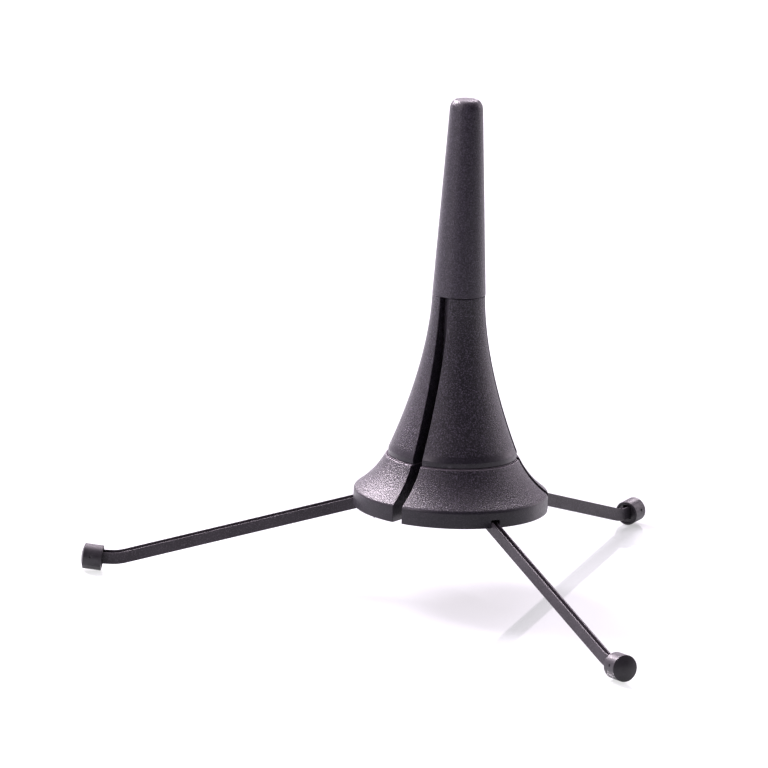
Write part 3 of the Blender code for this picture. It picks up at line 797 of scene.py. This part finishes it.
def make_floor():
    """A glossy white table that glows by emission as painted light, as if lit from beneath, brighter towards
    the camera and the left, so that shadows and reflections on it are lightened. Its front edge is near.
    """
    look = Finish("studio_floor", (0.238, 0.254, 0.260), 0.035)
    parts = look.add("ShaderNodeSeparateXYZ", {"Vector": look.place})
    # Painted light: emission that grows towards the camera and the left.
    painted_floor_glow = look.maths("ADD", look.spread(parts.outputs["Y"], -0.05, -0.19, 0.44, 0.74),
                      look.spread(parts.outputs["X"], -0.02, -0.14, 0.0, 0.26))
    look.shader.inputs["Emission Color"].default_value = (1.0, 0.995, 1.0, 1.0)
    look.tree.links.new(painted_floor_glow, look.shader.inputs["Emission Strength"])
    look.rough(look.spread(look.grain(60.0), 0.3, 0.7, 0.03, 0.05))
    bm = bmesh.new()
    bm.faces.new([bm.verts.new((x, y, 0.0)) for x, y in (
        (-TABLE_HALF_WIDTH, TABLE_FRONT), (TABLE_HALF_WIDTH, TABLE_FRONT),
        (TABLE_HALF_WIDTH, TABLE_BACK), (-TABLE_HALF_WIDTH, TABLE_BACK))])
    mesh = bpy.data.meshes.new("floor")
    bm.to_mesh(mesh)
    bm.free()
    mesh.materials.append(look.done())
    floor = bpy.data.objects.new("floor", mesh)
    floor.matrix_world = shift(z=FLOOR - 0.02) @ VIEW
    bpy.context.scene.collection.objects.link(floor)


def add_softbox(name, place, target, size, power):
    """A rectangular light at place, aimed at target, both in the camera's frame."""
    light = bpy.data.lights.new(name, "AREA")
    light.shape = "RECTANGLE"
    light.size, light.size_y = size
    light.energy = power
    light.color = LIGHT
    lamp = bpy.data.objects.new(name, light)
    bpy.context.scene.collection.objects.link(lamp)
    spot = VIEW @ Vector(place)
    aim = VIEW @ Vector(target) - spot
    lamp.matrix_world = Matrix.Translation(spot) @ aim.to_track_quat("-Z", "Y").to_matrix().to_4x4()


def make_world():
    """A white studio whose camera side is dark, as the stand sees it. The camera sees plain white."""
    world = bpy.data.worlds.new("studio")
    bpy.context.scene.world = world
    world.use_nodes = True
    nodes, links = world.node_tree.nodes, world.node_tree.links
    back = nodes["Background"]
    place = nodes.new("ShaderNodeTexCoord")
    dot = nodes.new("ShaderNodeVectorMath")
    dot.operation = "DOT_PRODUCT"
    links.new(place.outputs["Generated"], dot.inputs[0])
    dot.inputs[1].default_value = VIEW.to_3x3() @ Vector((0.34, -0.90, 0.20)).normalized()
    ramp = nodes.new("ShaderNodeMapRange")
    ramp.interpolation_type = "SMOOTHSTEP"
    links.new(dot.outputs["Value"], ramp.inputs["Value"])
    for name, value in (("From Min", 0.10), ("From Max", 0.80), ("To Min", 1.02), ("To Max", 0.10)):
        ramp.inputs[name].default_value = value
    shade = nodes.new("ShaderNodeMix")
    shade.data_type = "RGBA"
    shade.blend_type = "MULTIPLY"
    shade.inputs["Factor"].default_value = 1.0
    links.new(ramp.outputs["Result"], shade.inputs[6])
    shade.inputs[7].default_value = (1.0, 0.88, 1.02, 1.0)
    seen = nodes.new("ShaderNodeLightPath").outputs["Is Camera Ray"]
    switch = nodes.new("ShaderNodeMix")
    switch.data_type = "RGBA"
    links.new(seen, switch.inputs["Factor"])
    links.new(shade.outputs[2], switch.inputs[6])
    switch.inputs[7].default_value = (1.15, 1.15, 1.15, 1.0)
    links.new(switch.outputs[2], back.inputs["Color"])


make_camera()
make_floor()
make_world()
add_softbox("key_back_left", (-1.17, 1.19, 1.45), (0.0, 0.0, 0.05), (0.7, 0.7), 128.0)
add_softbox("back", (0.40, 1.70, 1.50), (0.0, 0.0, 0.0), (0.9, 0.6), 30.0)
add_softbox("top", (0.0, 0.75, 1.75), (0.0, 0.0, 0.0), (1.2, 1.2), 20.0)
add_softbox("left", (-1.22, -0.92, 1.05), (0.0, 0.0, 0.05), (0.6, 1.2), 15.0)
add_softbox("right", (1.45, 0.95, 0.60), (0.0, 0.0, 0.05), (0.7, 1.1), 7.0)
bpy.context.scene.view_settings.view_transform = "Standard"
